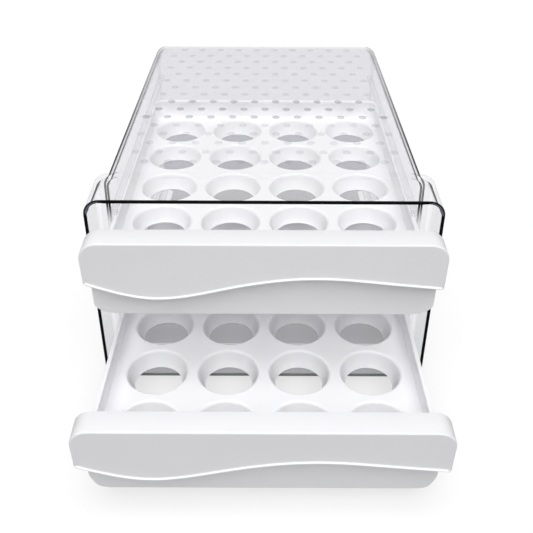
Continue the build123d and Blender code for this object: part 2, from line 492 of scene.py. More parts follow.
@dataclass(frozen=True)
class Polypropylene:
    """White polypropylene, injection moulded: a soft satin sheen over a faint spark-eroded grain.

    The grain is drawn coarser than a mould's, so that it shows.
    """

    name: str
    colour: str
    shade: str
    roughness: float
    grain_mm: float
    grain_depth: float
    unevenness: float = 0.05
    milky: float = 0.05
    scatter_mm: float = 1.0
    cloud_mm: float = 25.0
    grain_strength: float = 0.25
    index: float = 1.49

    def make(self) -> bpy.types.Material:
        """Wide flow clouds in the colour, and the mould's fine grain in roughness and bump.

        The thin walls pass some light, which scatters inside them and softens the shade of the cups.

        Returns:
            The material.
        """
        finish = Finish(self.name)
        place = finish.node("TexCoord")["Object"]
        clouds = finish.node("TexNoise", {"Vector": place, "Scale": 1 / (self.cloud_mm * MM), "Detail": 2.0})
        colour = finish.node("Mix", {"Factor": clouds["Fac"], "A": linear(self.shade),
                                     "B": linear(self.colour)}, data_type="RGBA")
        grain = finish.node("TexNoise", {"Vector": place, "Scale": 1 / (self.grain_mm * MM), "Detail": 3.0,
                                         "Roughness": 0.6})
        satin = finish.node("MapRange", {"Value": grain["Fac"], "To Min": self.roughness - self.unevenness,
                                         "To Max": self.roughness + self.unevenness})
        bump = finish.node("Bump", {"Height": grain["Fac"], "Strength": self.grain_strength,
                                    "Distance": self.grain_depth * MM})
        shader = finish.node("BsdfPrincipled", {
            "Base Color": colour["Result"], "Roughness": satin["Result"], "Normal": bump["Normal"],
            "IOR": self.index, "Subsurface Weight": self.milky, "Subsurface Radius": (1.0, 1.0, 1.0),
            "Subsurface Scale": self.scatter_mm * MM})
        return finish.done(shader["BSDF"])


@dataclass(frozen=True)
class ClearStyrene:
    """Clear styrene, moulded and glossy: lets straight sight lines through, greyer where it is looked along.

    A rounded corner turns the light aside, so both its outside and its inside carry a painted dark line in
    its place. Low down, the wall can carry painted shade, for the shade that what stands in it casts on the
    table seen through it.
    """

    name: str
    face_on: str
    along: str
    # line is the colour of the painted dark line at rounded corners.
    line: str
    line_from: float
    # low is the colour of the painted shade low down; white paints none.
    low: str = "FFFFFF"
    line_width: float = 0.16
    low_from: float = 95.0
    low_to: float = 60.0
    tint_from: float = 0.35
    tint_to: float = 0.95
    wave_mm: float = 30.0
    wave_depth: float = 0.3
    gloss: float = 0.14
    line_gloss: float = 0.02
    gloss_roughness: float = 0.06
    gloss_index: float = 1.3

    def make(self) -> bpy.types.Material:
        """Transparent tint by facing, by painted shade low down and by the corner's painted dark line, under
        a gloss by Fresnel.

        Returns:
            The material.
        """
        finish = Finish(self.name)
        facing = finish.node("LayerWeight", {"Blend": 0.5})["Facing"]
        steep = finish.node("MapRange", {"Value": facing, "From Min": self.tint_from,
                                         "From Max": self.tint_to}, interpolation_type="SMOOTHSTEP")
        tint = finish.node("Mix", {"Factor": steep["Result"], "A": linear(self.face_on),
                                   "B": linear(self.along)}, data_type="RGBA")
        place = finish.node("TexCoord")["Object"]
        height = finish.node("SeparateXYZ", {"Vector": place})["Z"]
        # Painted shade: the tint darkens towards the bottom, from low_from down to low_to.
        sunk = finish.node("MapRange", {"Value": height, "From Min": self.low_from * MM,
                                        "From Max": self.low_to * MM}, interpolation_type="SMOOTHSTEP")
        shaded = finish.node("Mix", {"Factor": sunk["Result"], "A": tint["Result"], "B": linear(self.low)},
                             data_type="RGBA", blend_type="MULTIPLY")
        # Painted dark line where a rounded corner is looked along, for the light it turns aside.
        bend = finish.node("Attribute", attribute_name=BEND)["Fac"]
        turned = finish.node("MapRange", {"Value": facing, "From Min": self.line_from,
                                          "From Max": self.line_from + self.line_width},
                             interpolation_type="SMOOTHSTEP")
        dark = finish.node("Math", {0: turned["Result"], 1: bend}, operation="MULTIPLY")["Value"]
        lined = finish.node("Mix", {"Factor": dark, "A": shaded["Result"], "B": linear(self.line)},
                            data_type="RGBA")
        through = finish.node("BsdfTransparent", {"Color": lined["Result"]})
        waves = finish.node("TexNoise", {"Vector": place, "Scale": 1 / (self.wave_mm * MM), "Detail": 1.0,
                                         "Roughness": 0.4})
        bump = finish.node("Bump", {"Height": waves["Fac"], "Strength": 0.1,
                                    "Distance": self.wave_depth * MM})
        gloss = finish.node("BsdfPrincipled", {"Normal": bump["Normal"], "Base Color": linear("FFFFFF"),
                                               "Roughness": self.gloss_roughness, "IOR": STYRENE_IOR})
        mirror = finish.node("Fresnel", {"IOR": self.gloss_index})
        limit = finish.node("Math", {0: dark, 1: self.line_gloss - self.gloss, 2: self.gloss},
                            operation="MULTIPLY_ADD")
        share = finish.node("Math", {0: mirror["Fac"], 1: limit["Value"]}, operation="MINIMUM")
        both = finish.node("MixShader", {0: share["Value"], 1: through["BSDF"], 2: gloss["BSDF"]})
        return finish.done(both["Shader"])


@dataclass(frozen=True)
class CutEdge:
    """Edge of the clear moulding seen end on: a long way through the wall, so it is painted nearly black, a
    painted shade.

    Its rounded corners catch the sky and are painted slate grey, a painted reflection, and where it lies on
    the table it is painted pale, painted light from the table.
    """

    name: str
    # Painted colours: colour is painted shade, corner a painted reflection of the sky, foot painted light
    # from the table.
    colour: str
    corner: str
    foot: str
    roughness: float
    foot_from: float = 10.0
    foot_to: float = 3.0
    corner_to: float = 0.4
    cloud_mm: float = 9.0
    index: float = 1.2

    def make(self) -> bpy.types.Material:
        """Gloss whose painted colour goes by the corner's bend and by the height, a little uneven along the
        edge.

        Returns:
            The material.
        """
        finish = Finish(self.name)
        place = finish.node("TexCoord")["Object"]
        uneven = finish.node("TexNoise", {"Vector": place, "Scale": 1 / (self.cloud_mm * MM), "Detail": 2.0})
        bend = finish.node("Attribute", attribute_name=BEND)["Fac"]
        cloudy = finish.node("Math", {0: bend, 1: uneven["Fac"]}, operation="MULTIPLY")
        rounded = finish.node("MapRange", {"Value": cloudy["Value"], "From Min": 0.02,
                                           "From Max": self.corner_to})
        colour = finish.node("Mix", {"Factor": rounded["Result"], "A": linear(self.colour),
                                     "B": linear(self.corner)}, data_type="RGBA")
        height = finish.node("SeparateXYZ", {"Vector": place})["Z"]
        lying = finish.node("MapRange", {"Value": height, "From Min": self.foot_from * MM,
                                         "From Max": self.foot_to * MM})
        both = finish.node("Mix", {"Factor": lying["Result"], "A": colour["Result"], "B": linear(self.foot)},
                           data_type="RGBA")
        shader = finish.node("BsdfPrincipled", {"Base Color": both["Result"], "Roughness": self.roughness,
                                                "IOR": self.index})
        return finish.done(shader["BSDF"])


@dataclass(frozen=True)
class StepLine:
    """Tight hollow where the case's step meets its body: a painted dark line of shade high up, which fades
    lower down.
    """

    name: str
    colour: str
    fade_from: float
    fade_to: float
    clear: str = "FBFBFC"
    faded: float = 0.15
    gloss: float = 0.04
    gloss_roughness: float = 0.15
    gloss_index: float = 1.3

    def make(self) -> bpy.types.Material:
        """Painted shade: a dark tint over the transparent wall by height and by how far the step falls, under
        a faint gloss.

        Returns:
            The material.
        """
        finish = Finish(self.name)
        place = finish.node("TexCoord")["Object"]
        height = finish.node("SeparateXYZ", {"Vector": place})["Z"]
        level = finish.node("MapRange", {"Value": height, "From Min": self.fade_to * MM,
                                         "From Max": self.fade_from * MM, "To Min": self.faded})
        drop = finish.node("Attribute", attribute_name=BEND)["Fac"]
        share = finish.node("Math", {0: level["Result"], 1: drop}, operation="MULTIPLY")
        tint = finish.node("Mix", {"Factor": share["Value"], "A": linear(self.clear),
                                   "B": linear(self.colour)}, data_type="RGBA")
        through = finish.node("BsdfTransparent", {"Color": tint["Result"]})
        gloss = finish.node("BsdfPrincipled", {"Base Color": linear(self.colour),
                                               "Roughness": self.gloss_roughness, "IOR": self.gloss_index})
        both = finish.node("MixShader", {0: self.gloss, 1: through["BSDF"], 2: gloss["BSDF"]})
        return finish.done(both["Shader"])


@dataclass(frozen=True)
class Frosted:
    """Frosted spot of the clear moulding: its matt surface holds some light back, so it reads as a pale grey.
    Where its strength is high it is darker, a painted shade for its shadow on the tray beneath.

    The grain of the frosting is drawn 0.8 mm wide, coarser than the real one, so that it shows.
    """

    name: str
    # strong is the tint with painted shade, for the spot's shadow on the tray beneath; faint has none.
    strong: str
    faint: str
    sheen: str = "D8D9DC"
    cloud: str = "808080"
    grain_mm: float = 0.8
    unevenness: float = 0.04
    gloss: float = 0.02

    def make(self) -> bpy.types.Material:
        """Tint by the spot's strength, which carries painted shade, a little uneven from its grain, under a
        matt sheen.

        Returns:
            The material.
        """
        finish = Finish(self.name)
        place = finish.node("TexCoord")["Object"]
        grain = finish.node("TexNoise", {"Vector": place, "Scale": 1 / (self.grain_mm * MM), "Detail": 2.0})
        strength = finish.node("Attribute", attribute_name=BEND)["Fac"]
        tint = finish.node("Mix", {"Factor": strength, "A": linear(self.faint), "B": linear(self.strong)},
                           data_type="RGBA")
        uneven = finish.node("MapRange", {"Value": grain["Fac"], "To Max": self.unevenness})
        mottled = finish.node("Mix", {"Factor": uneven["Result"], "A": tint["Result"],
                                      "B": linear(self.cloud)}, data_type="RGBA", blend_type="MULTIPLY")
        through = finish.node("BsdfTransparent", {"Color": mottled["Result"]})
        matt = finish.node("BsdfPrincipled", {"Base Color": linear(self.sheen), "Roughness": 0.5,
                                              "IOR": STYRENE_IOR})
        both = finish.node("MixShader", {0: self.gloss, 1: through["BSDF"], 2: matt["BSDF"]})
        return finish.done(both["Shader"])


@dataclass
class Case:
    """Clear case: leaning, tapered body behind a wider collar, with runners moulded inside.

    Sizes are in millimetres and angles in degrees. Teeth and stops are sunk into the runners, and a hair
    keeps their faces from lying in one plane with them. The step's brow ends and its foot starts at shares of
    the way in from collar to body. The corners carry a painted dark line: bend_full is the bend from which a
    corner's painted line is full, rear_fade what it loses towards the rear, low_dark what stays low down, and
    upper_from and upper_over are the height's shares where the upper corners' painted darkness begins and
    over which it grows.
    """

    wall: float = 2.2
    floor: float = 2.6
    body_top_half: float = 104.0
    body_lean: float = 1.8
    body_radius: float = 9.5
    collar_lean: float = 1.0
    collar_depth: float = 34.0
    collar_radius: float = 11.0
    step_round: float = 1.1
    rim_round: float = 0.5
    ledge_reach: float = 6.0
    ledge_thickness: float = 2.5
    guide_reach: float = 4.0
    guide_thickness: float = 2.0
    runner_room: float = 6.0
    tooth_depth: float = 1.8
    tooth_length: float = 4.0
    stop_height: float = 6.0
    stop_length: float = 4.8
    run_gap: float = 0.3
    guide_gap: float = 2.2
    bar_ease: float = 0.4
    rear_top_reach: float = 4.0
    dot_pitch: float = 16.2
    dot_row_pitch: float = 13.93
    dot_first_y: float = -13.3
    dot_diameter: float = 6.0
    dot_sides: int = 14
    dot_rows: tuple[int, int] = (-5, 11)
    dot_rise: float = 0.25
    dot_taper: float = 0.85
    dot_columns: int = 8
    dot_gap: float = 0.02
    # Painted shade of the rows of dots behind and in front of the strongest ones.
    rear_dots: float = 0.12
    front_dots: float = 0.05
    slack: float = 0.01
    hair: float = 0.05
    lap: float = 0.3
    sunk: float = 0.6
    brow_share: float = 0.2
    foot_share: float = 0.86
    step_fall: float = 2.0
    bend_full: float = 0.3
    rear_fade: float = 0.68
    low_dark: float = 0.15
    upper_from: float = 0.55
    upper_over: float = 0.3
    arc_steps: int = 10
    side_steps: int = 12

    def __post_init__(self) -> None:
        """Takes the case's place and height from the frame."""
        low, high = node_box("case")
        self.mouth_y, self.rear_y, self.height = low[1], high[1], high[2]
        self.step_y = self.mouth_y + self.collar_depth
        self.collar_base_half = high[0]

    def body_half(self, y: float, z: float) -> float:
        """Half of the body's outside width at a depth and height."""
        lean = (self.height - z) * tan(radians(self.body_lean))
        return self.body_top_half + lean - (y - self.step_y) * tan(radians(TAPER))

    def collar_half(self, z: float) -> float:
        """Half of the collar's outside width at a height."""
        return self.collar_base_half - z * tan(radians(self.collar_lean))

    def section(self, half: Callable[[float], float], inset: float, radius: float) -> Outline:
        """Rounded section of the case at one depth.

        Args:
            half: Half width at a height.
            inset: Wall thickness to draw it in by, and 0 outside.
            radius: Outside corner radius.

        Returns:
            The loop in x and z.
        """
        low, high = (self.floor, self.height - self.wall) if inset else (0.0, self.height)
        wide, narrow = half(low) - inset, half(high) - inset
        corners = [(-wide, low), (wide, low), (narrow, high), (-narrow, high)]
        return rounded_polygon(corners, [radius - inset] * 4, self.arc_steps, [crowded(self.side_steps)] * 4)

    def body(self, y: float, inset: float) -> Outline:
        """Section of the body at a depth."""
        return self.section(lambda z: self.body_half(y, z), inset, self.body_radius)

    def collar(self, inset: float) -> Outline:
        """Section of the collar."""
        return self.section(self.collar_half, inset, self.collar_radius)

    def body_rows(self, inset: float, front: float, rear: float) -> list[np.ndarray]:
        """Loops along the body from the step to its rounded rear, which turns in by a quarter circle.

        Args:
            inset: Wall thickness for the inside, and 0 for the outside.
            front: Depth where the loops start.
            rear: Depth of the rear.

        Returns:
            The loops.
        """
        radius = self.body_radius - inset
        rows = [on_elevation(y)(self.body(y, inset).inside(0.0))
                for y in np.linspace(front, rear - radius, 6)]
        for angle in np.linspace(0.0, pi / 2, 9)[1:]:
            y = rear - radius + radius * sin(angle)
            rows.append(on_elevation(y)(self.body(y, inset).inside(radius * (1 - cos(angle)))))
        rows.append(on_elevation(rear)(self.body(rear, inset).inside(radius + self.lap)))
        return rows

    def step_rows(self, inset: float, y: float) -> list[np.ndarray]:
        """Loops down the step from the collar to the body, rounded at its brow and at its foot.

        Where collar and body are level, there is no step to round, and the loops lie evenly one behind
        another.

        Args:
            inset: Wall thickness for the inside, and 0 for the outside.
            y: Depth of the step's face.

        Returns:
            The loops.
        """
        r = self.step_round
        brow = quarter((0.0, y - r), (0.0, y), (self.brow_share, y), 4)
        foot = quarter((self.foot_share, y), (1.0, y), (1.0, y + r), 4)
        start, end = self.collar(inset).inside(0.0), self.body(y + r, inset).inside(0.0)
        steps = np.concatenate([brow, foot])
        drop = self.step_drop()
        rows = []
        for (t, depth), even in zip(steps, np.linspace(y - r, y + r, len(steps))):
            flat = (1 - t) * start + t * end
            rows.append(np.column_stack([flat[:, 0], even + (depth - even) * drop, flat[:, 1]]))
        return rows

    def darkness(self, rows: np.ndarray, count_out: int) -> np.ndarray:
        """How much painted dark line each point of the shell can carry where it is looked along.

        The upper rounded corners gather the most light away, less and less towards the rear, and the lower
        ones little. Flat walls have none, and neither has the collar's outer skin.

        Args:
            rows: Loops of the shell, by points, by three.
            count_out: Number of loops on the outside, which come first.

        Returns:
            Values from 0 to 1, by rows and points.
        """
        bend = smooth(self.collar(0.0).bend / self.bend_full)[None]
        behind = smooth((rows[..., 1] - self.step_y) / (self.rear_y - self.step_y))
        upper = smooth((rows[..., 2] - self.upper_from * self.height) / (self.upper_over * self.height))
        dark = bend * (1.0 - self.rear_fade * behind) * (self.low_dark + (1.0 - self.low_dark) * upper)
        dark[:count_out] *= rows[:count_out, :, 1] > self.step_y - self.step_round
        return dark

    def step_drop(self) -> np.ndarray:
        """How far the step falls from the collar to the body at each point.

        Returns:
            Shares of the full fall for each point of a section, from 0 to 1.
        """
        collar, body = self.collar(0.0), self.body(self.step_y, 0.0)
        facing = np.where(collar.radius[:, None] > 0, -collar.out, collar.mitre)
        fall = ((body.inside(0.0) - collar.inside(0.0)) * facing).sum(axis=1)
        return smooth(fall / self.step_fall)

    def skin_rows(self, inset: float) -> tuple[list[np.ndarray], list[Zone]]:
        """Loops of one skin from the mouth to the rear.

        Args:
            inset: Wall thickness for the inside, and 0 for the outside.

        Returns:
            The loops, and the zone of each.
        """
        rim, mouth_y, section = self.rim_round, self.mouth_y, self.collar(inset)
        if inset:
            mouth = eased(0.0, mouth_y, (-1, 0), (0, 1), rim, 0.3 * rim)
        else:
            mouth = quarter((rim, mouth_y), (0.0, mouth_y), (0.0, mouth_y + rim), 3).tolist()
        rows = [on_elevation(y)(section.inside(d)) for d, y in (*mouth, (0.0, mouth_y + 2.0 * rim))]
        rows += self.step_rows(inset, self.step_y - inset)
        body = self.body_rows(inset, self.step_y - inset + self.step_round + 0.5, self.rear_y - inset)
        return rows + body, [Zone.EDGE] * len(mouth) + STEP_ZONES + [Zone.CLEAR] * len(body)

    def zones(self, rows: np.ndarray, kinds: np.ndarray) -> np.ndarray:
        """Zone of each face: a band between two loops of one zone has it, and one past a brow is the step.

        The floor and the rear have their own, which carry painted shade.

        Args:
            rows: Loops of the shell, by points, by three.
            kinds: Zone of each loop.

        Returns:
            Zones by bands and columns.
        """
        bands = np.where(kinds[1:] == kinds[:-1], kinds[1:], Zone.CLEAR)
        for one, other in ((kinds[1:], kinds[:-1]), (kinds[:-1], kinds[1:])):
            bands[(one == Zone.STEP) & (other == Zone.FOOT)] = Zone.STEP
        zones = np.repeat(bands[:, None], rows.shape[1], axis=1)
        quarter_loop = self.arc_steps + self.side_steps
        columns = np.arange(rows.shape[1])
        flat_floor = (columns >= self.arc_steps) & (columns < quarter_loop)
        top = (columns >= 2 * quarter_loop) & (columns < 3 * quarter_loop + self.arc_steps)
        reach = np.where(top, self.rear_top_reach, self.body_radius + self.slack)
        rear = np.minimum(rows[:-1, :, 1], rows[1:, :, 1]) > self.rear_y - reach[None]
        clear = zones == Zone.CLEAR
        zones[clear & rear] = Zone.REAR
        zones[clear & flat_floor[None]] = Zone.FLOOR
        return zones

    def build(self, finishes: Sequence[bpy.types.Material], runner: bpy.types.Material,
              dots: bpy.types.Material) -> list[bpy.types.Object]:
        """Makes the shell, its runners and its dots.

        Args:
            finishes: Finishes of the shell, by zone.
            runner: Finish of the runners.
            dots: Finish of the dots.

        Returns:
            The pieces.
        """
        outer, outer_kinds = self.skin_rows(0.0)
        inner, inner_kinds = self.skin_rows(self.wall)
        rows = np.array(outer[::-1] + inner)
        kinds = np.array(outer_kinds[::-1] + inner_kinds)
        dark = self.darkness(rows, len(outer))
        # The step's foot carries the painted shade of its hollow as strongly as the step falls.
        dark[kinds == Zone.FOOT] = self.step_drop()
        shell = Shell()
        shell.grid(rows, zone=self.zones(rows, kinds), bend=dark)
        for inset in (0.0, self.wall):
            rear = self.rear_y - inset
            loop = self.body(rear, inset).inside(self.body_radius - inset + self.lap)
            shell.panel(loop, on_elevation(rear), zone=Zone.REAR)
        body = shell.build("case_shell", finishes)
        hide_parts("case")
        pieces = [body, self.runners(runner), self.dots(dots)]
        for piece in pieces:
            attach(piece, "case")
        return pieces

    def bar(self, shell: Shell, heights: tuple[float, float], reach: float,
            depths: tuple[float, float]) -> None:
        """Adds a bar to both side walls: a section with two eased corners, carried along the wall's taper.

        Args:
            shell: Takes the surfaces.
            heights: Its underside and its top.
            reach: How far it stands in from the wall.
            depths: Its front and rear ends.
        """
        low, high = heights
        e = self.bar_ease
        for hand in (-1.0, 1.0):
            rows = []
            for y in depths:
                root = self.body_half(y, low) - self.wall + e
                tip = root - e - reach
                ring = np.array([(root, y, low), (tip + e, y, low), (tip, y, low + e),
                                 (tip, y, high - e), (tip + e, y, high), (root, y, high)])
                rows.append(ring * (hand, 1.0, 1.0))
            shell.grid(np.array(rows))
            for row in rows:
                shell.add(row, np.array([[0, 1, 2, 3], [0, 3, 4, 5]]))

    def runners(self, finish: bpy.types.Material) -> bpy.types.Object:
        """Ledge and guide for each drawer on both walls, with the guide's tooth and the ledge's rear stop.

        Args:
            finish: Its material.

        Returns:
            The piece.
        """
        shell = Shell()
        front, rear = self.step_y - self.wall, self.rear_y - self.runner_room
        for drawer in (DrawerPlace("upper"), DrawerPlace("lower")):
            ledge = drawer.foot_z - self.run_gap
            guide = drawer.rim_z + self.guide_gap
            self.bar(shell, (ledge - self.ledge_thickness, ledge), self.ledge_reach, (front, rear))
            self.bar(shell, (guide, guide + self.guide_thickness), self.guide_reach, (front, rear))
            self.bar(shell, (guide - self.tooth_depth, guide + self.sunk), self.guide_reach - self.hair,
                     (front + self.hair, front + self.tooth_length))
            self.bar(shell, (ledge - self.sunk, ledge + self.stop_height), self.ledge_reach - self.hair,
                     (rear - self.stop_length, rear - self.hair))
        return shell.build("case_runners", [finish])

    def dot_painted_shade(self, number: int) -> float:
        """How much painted shade a row of dots carries, for its shadow on the tray: most before the tray's
        rear margin, little past it.
        """
        if 0 <= number <= 2:
            return 1.0
        return self.rear_dots if number > 0 else self.front_dots

    def dots(self, finish: bpy.types.Material) -> bpy.types.Object:
        """Low domes under the top in a staggered pattern: each is a ring closed over a middle point.

        Args:
            finish: Its material.

        Returns:
            The piece.
        """
        shell = Shell()
        roof = self.height - self.wall - self.dot_gap
        count = self.dot_sides
        here = np.arange(count)
        turn = 2 * pi * here / count
        ring = np.column_stack([np.cos(turn), np.sin(turn)]) * self.dot_diameter / 2
        ahead = np.roll(here, -1)
        for number in range(*self.dot_rows):
            y = self.dot_first_y + number * self.dot_row_pitch
            shift = 0.0 if number % 2 else self.dot_pitch / 2
            reach = self.body_half(y, self.height) - self.body_radius - self.dot_diameter / 2
            xs = np.arange(-self.dot_columns, self.dot_columns + 1) * self.dot_pitch + shift
            # The row's painted shade goes into the dots' bend attribute.
            strength = self.dot_painted_shade(number)
            for x in xs[np.abs(xs) < reach]:
                low = np.column_stack([ring * self.dot_taper + (x, y), np.full(count, roof - self.dot_rise)])
                top = np.column_stack([ring + (x, y), np.full(count, roof)])
                points = np.concatenate([top, low, [(x, y, roof - 1.2 * self.dot_rise)], [(x, y, roof)]])
                for faces in ([here, ahead, ahead + count, here + count],
                              [here + count, ahead + count, here * 0 + 2 * count],
                              [here, ahead, here * 0 + 2 * count + 1]):
                    shell.add(points, np.stack(faces, axis=1), bend=strength)
        return shell.build("case_dots", [finish])


@dataclass
class DrawerPlace:
    """Where one drawer's parts lie, taken from the frame."""

    level: str
    skirt_depth: float = 15.7
    side_height: float = 15.0
    front_margin: float = 34.7

    def __post_init__(self) -> None:
        """Reads the two nodes of the drawer."""
        low, high = node_box(f"{self.level}_tray")
        self.front_y, self.back_y, self.foot_z = low[1], high[1], low[2]
        self.deck_z = self.foot_z + self.skirt_depth
        self.rim_z = self.deck_z + self.side_height
        self.front_half = high[0]
        cap_low, cap_high = node_box(f"{self.level}_front")
        self.cap_half, self.cap_top_z, self.cap_lip_y = cap_high[0], cap_high[2], cap_low[1]
        self.first_row_y = self.front_y + self.front_margin

    def half(self, y: float) -> float:
        """Half of the tray's width over its rims at a depth."""
        return self.front_half - (y - self.front_y) * tan(radians(TAPER))


# Each drawer's front panel: how far its sides stand in from the cap's, and the run and the rise of the
# quarter ellipses at its lower corners.
PANEL_SIDES = {"upper": (2.3, 16.0, 7.7), "lower": (4.6, 11.5, 14.0)}


@dataclass
class Tray:
    """White egg tray: deck with rounded cups that are open below, rimmed walls, skirt and upstand.

    The cup's roll is given by how far its bend and its end lie inside the rim, and how far down it ends. The
    bulge is given by how far its inner and its outer side lie inside the rim, and how far down it is.
    """

    place: DrawerPlace
    columns: int = 4
    rows: int = 5
    column_pitch: float = 48.0
    row_pitch: float = 47.6
    deck_thickness: float = 2.0
    wall: float = 2.0
    rim_width: float = 3.0
    rim_height: float = 2.5
    overhang: float = 0.5
    corner_radius: float = 8.0
    rim_radius: float = 21.9
    throat_radius: float = 16.0
    cup_depth: float = 12.5
    cup_wall: float = 1.6
    cup_roll: tuple[float, float, float] = (1.15, 1.75, 1.25)
    cup_bulge: tuple[float, float, float] = (3.6, 1.6, 8.6)
    cup_points: int = 64
    foot_radius: float = 12.0
    foot_run: float = 14.0
    foot_blend: float = 10.0
    arc_steps: int = 10
    side_steps: int = 36
    stand_gap: float = 0.02
    panel_thickness: float = 2.2
    panel_proud: float = 0.3
    panel_top: float = 30.0
    panel_edge: float = 0.5
    stand_height: float = 36.0
    stand_radius: float = 9.2
    deck_round: float = 0.45
    support: float = 0.1
    slack: float = 0.01
    rim_ease: tuple[float, float] = (0.7, 0.2)
    rim_lift: float = 0.4
    rim_cut: float = 0.3
    under_rim: float = 0.2
    panel_radius: float = 3.0
    nub_from_back: float = 36.8
    nub_length: float = 6.0
    nub_width: float = 2.4
    nub_height: float = 1.8
    nub_sunk: float = 0.5
    nub_radius: float = 0.6
    nub_edge: float = 0.3

    def plan(self) -> Outline:
        """Plan of the rims: a trapezoid that narrows to the rear, with rounded corners.

        Its front side has points where the upstand starts, and crowded ones round the upstand's corners.

        Returns:
            The loop in x and y.
        """
        p = self.place
        back_half = p.half(p.back_y)
        corners = [(-p.front_half, p.front_y), (p.front_half, p.front_y), (back_half, p.back_y),
                   (-back_half, p.back_y)]
        reach = p.front_half - self.corner_radius
        turn = np.sin(np.linspace(pi / 2, 0.0, 9))
        rise = self.stand_half - self.stand_radius * (1 - turn)
        middle = np.linspace(rise[-1], 0.0, 14)[1:-1]
        half = np.concatenate([[self.stand_half + self.stand_gap], rise, middle])
        xs = np.concatenate([-half, [0.0], half[::-1]])
        front = (xs + reach) / (2 * reach)
        return rounded_polygon(corners, [self.corner_radius] * 4, self.arc_steps,
                               [front, *[crowded(self.side_steps)] * 3])

    @property
    def stand_half(self) -> float:
        """Half of the upstand's width."""
        return self.place.front_half - self.corner_radius - self.overhang

    def cup_profile(self) -> np.ndarray:
        """Radius and depth down the bowl, round the throat's lip and up the outside to the deck's underside.

        The rim rolls in to where the bowl starts, and the bowl's inner and outer sides bulge at one depth.

        Returns:
            Pairs of radius and height over the deck.
        """
        rim, throat, deep, wall = self.rim_radius, self.throat_radius, self.cup_depth, self.cup_wall
        bend, run, drop = self.cup_roll
        inner, outer, low = self.cup_bulge
        roll = quarter((rim, 0.0), (rim - bend, 0.0), (rim - run, -drop), 5)
        bowl = quarter((rim - run, -drop), (rim - inner, -low), (throat, wall / 2 - deep), 8)
        turn = np.linspace(pi, 2 * pi, 8)[:, None]
        middle = np.array([throat + wall / 2, wall / 2 - deep])
        lip = middle + wall / 2 * np.concatenate([np.cos(turn), np.sin(turn)], axis=1)
        outside = quarter((throat + wall, wall / 2 - deep), (rim - outer, -low),
                          (rim, -self.deck_thickness), 6)
        start, end = (rim + self.support, 0.0), (rim + self.support, -self.deck_thickness)
        return np.concatenate([[start], roll, bowl[1:], lip[1:], outside[1:], [end]])

    def centres(self) -> np.ndarray:
        """Plan positions of the cups."""
        xs = (np.arange(self.columns) - (self.columns - 1) / 2) * self.column_pitch
        ys = self.place.first_row_y + np.arange(self.rows) * self.row_pitch
        return np.stack(np.meshgrid(xs, ys), axis=-1).reshape(-1, 2)

    def wall_rows(self, plan: Outline) -> np.ndarray:
        """Loops from the deck up the wall's inside, over the rim, down outside to the foot and up again.

        They end at the deck's underside. The foot rises in a rounding at both front corners, and the front
        wall goes on up as the upstand.

        Args:
            plan: Outline of the rims.

        Returns:
            Rows by points by three.
        """
        p = self.place
        base = plan.inside(0.0)
        reach = np.abs(base[:, 0]) - (p.front_half - self.foot_radius)
        behind = base[:, 1] - p.front_y
        turned = np.clip(reach, 0, self.foot_radius)
        sweep = self.foot_radius - np.sqrt(np.maximum(self.foot_radius ** 2 - turned ** 2, 0.0))
        rise = sweep * (1 - smooth((behind - self.foot_run) / self.foot_blend + 0.5))
        foot = p.foot_z + rise
        front = np.clip(1.0 - behind / self.corner_radius, 0.0, 1.0)
        over = self.overhang * (1 - front)
        inner = over + self.wall
        deck, under, rim = p.deck_z, p.deck_z - self.deck_thickness, p.rim_z
        d, e, cut = self.deck_round, self.rim_width, self.rim_cut
        low = rim - self.rim_height
        start = [(inner + d + self.support, deck), *eased(inner, deck, (1, 0), (0, 1), d, cut * d),
                 (inner, low - 0.5)]
        lift, below = low + self.rim_lift, low - self.under_rim
        rimmed = [(np.maximum(inner, e - cut), low), (e, lift),
                  *eased(e, rim, (0, -1), (-1, 0), *self.rim_ease), (e / 2, rim),
                  *eased(0.0, rim, (1, 0), (0, -1), *self.rim_ease),
                  (0.0, low + cut), (cut * over / self.overhang, low), (over, below)]
        end = [(over, deck), (over, foot + 1.0), *eased(over, foot, (0, 1), (1, 0)),
               *eased(inner, foot, (-1, 0), (0, 1)),
               (inner, under - d), (inner + d, under), (inner + d + self.support, under)]
        inset = np.maximum(np.abs(base[:, 0]) - (self.stand_half - self.stand_radius), 0.0)
        stands = (behind < self.slack) & (inset <= self.stand_radius + self.slack / 10)
        drop = self.stand_radius - np.sqrt(np.maximum(self.stand_radius ** 2 - inset ** 2, 0.0))
        crest = deck + self.stand_height - np.where(stands, drop, 0.0)
        w = self.wall
        raised = [(w, low), (w, lift), *eased(w, crest, (0, -1), (-1, 0)), (w / 2, crest),
                  *eased(0.0, crest, (1, 0), (0, -1)), (0.0, low + cut), (0.0, low), (0.0, below)]
        rows = blended(plan, stands.astype(float), start + rimmed + end, start + raised + end)
        return np.array([np.column_stack(row) for row in rows])

    def build(self, finish: bpy.types.Material) -> bpy.types.Object:
        """Makes the tray as one mesh.

        Args:
            finish: Its material.

        Returns:
            The piece.
        """
        p = self.place
        shell = Shell()
        plan = self.plan()
        rows = self.wall_rows(plan)
        shell.grid(rows)
        profile = self.cup_profile()
        turn = 2 * pi * np.arange(self.cup_points) / self.cup_points
        circle = np.column_stack([np.cos(turn), np.sin(turn)])
        top_holes, low_holes = [], []
        for centre in self.centres():
            ring = profile[:, 0][:, None, None] * circle[None] + centre
            height = np.broadcast_to(p.deck_z + profile[:, 1][:, None, None], (*ring.shape[:2], 1))
            shell.grid(np.concatenate([ring, height], axis=-1))
            top_holes.append(ring[0])
            low_holes.append(ring[-1])
        shell.panel(rows[0][:, :2], on_plan(p.deck_z), top_holes)
        shell.panel(rows[-1][:, :2], on_plan(p.deck_z - self.deck_thickness), low_holes)
        self.nubs(shell)
        self.front_panel(shell)
        piece = shell.build(f"{p.level}_tray_body", [finish])
        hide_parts(f"{p.level}_tray")
        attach(piece, f"{p.level}_drawer")
        return piece

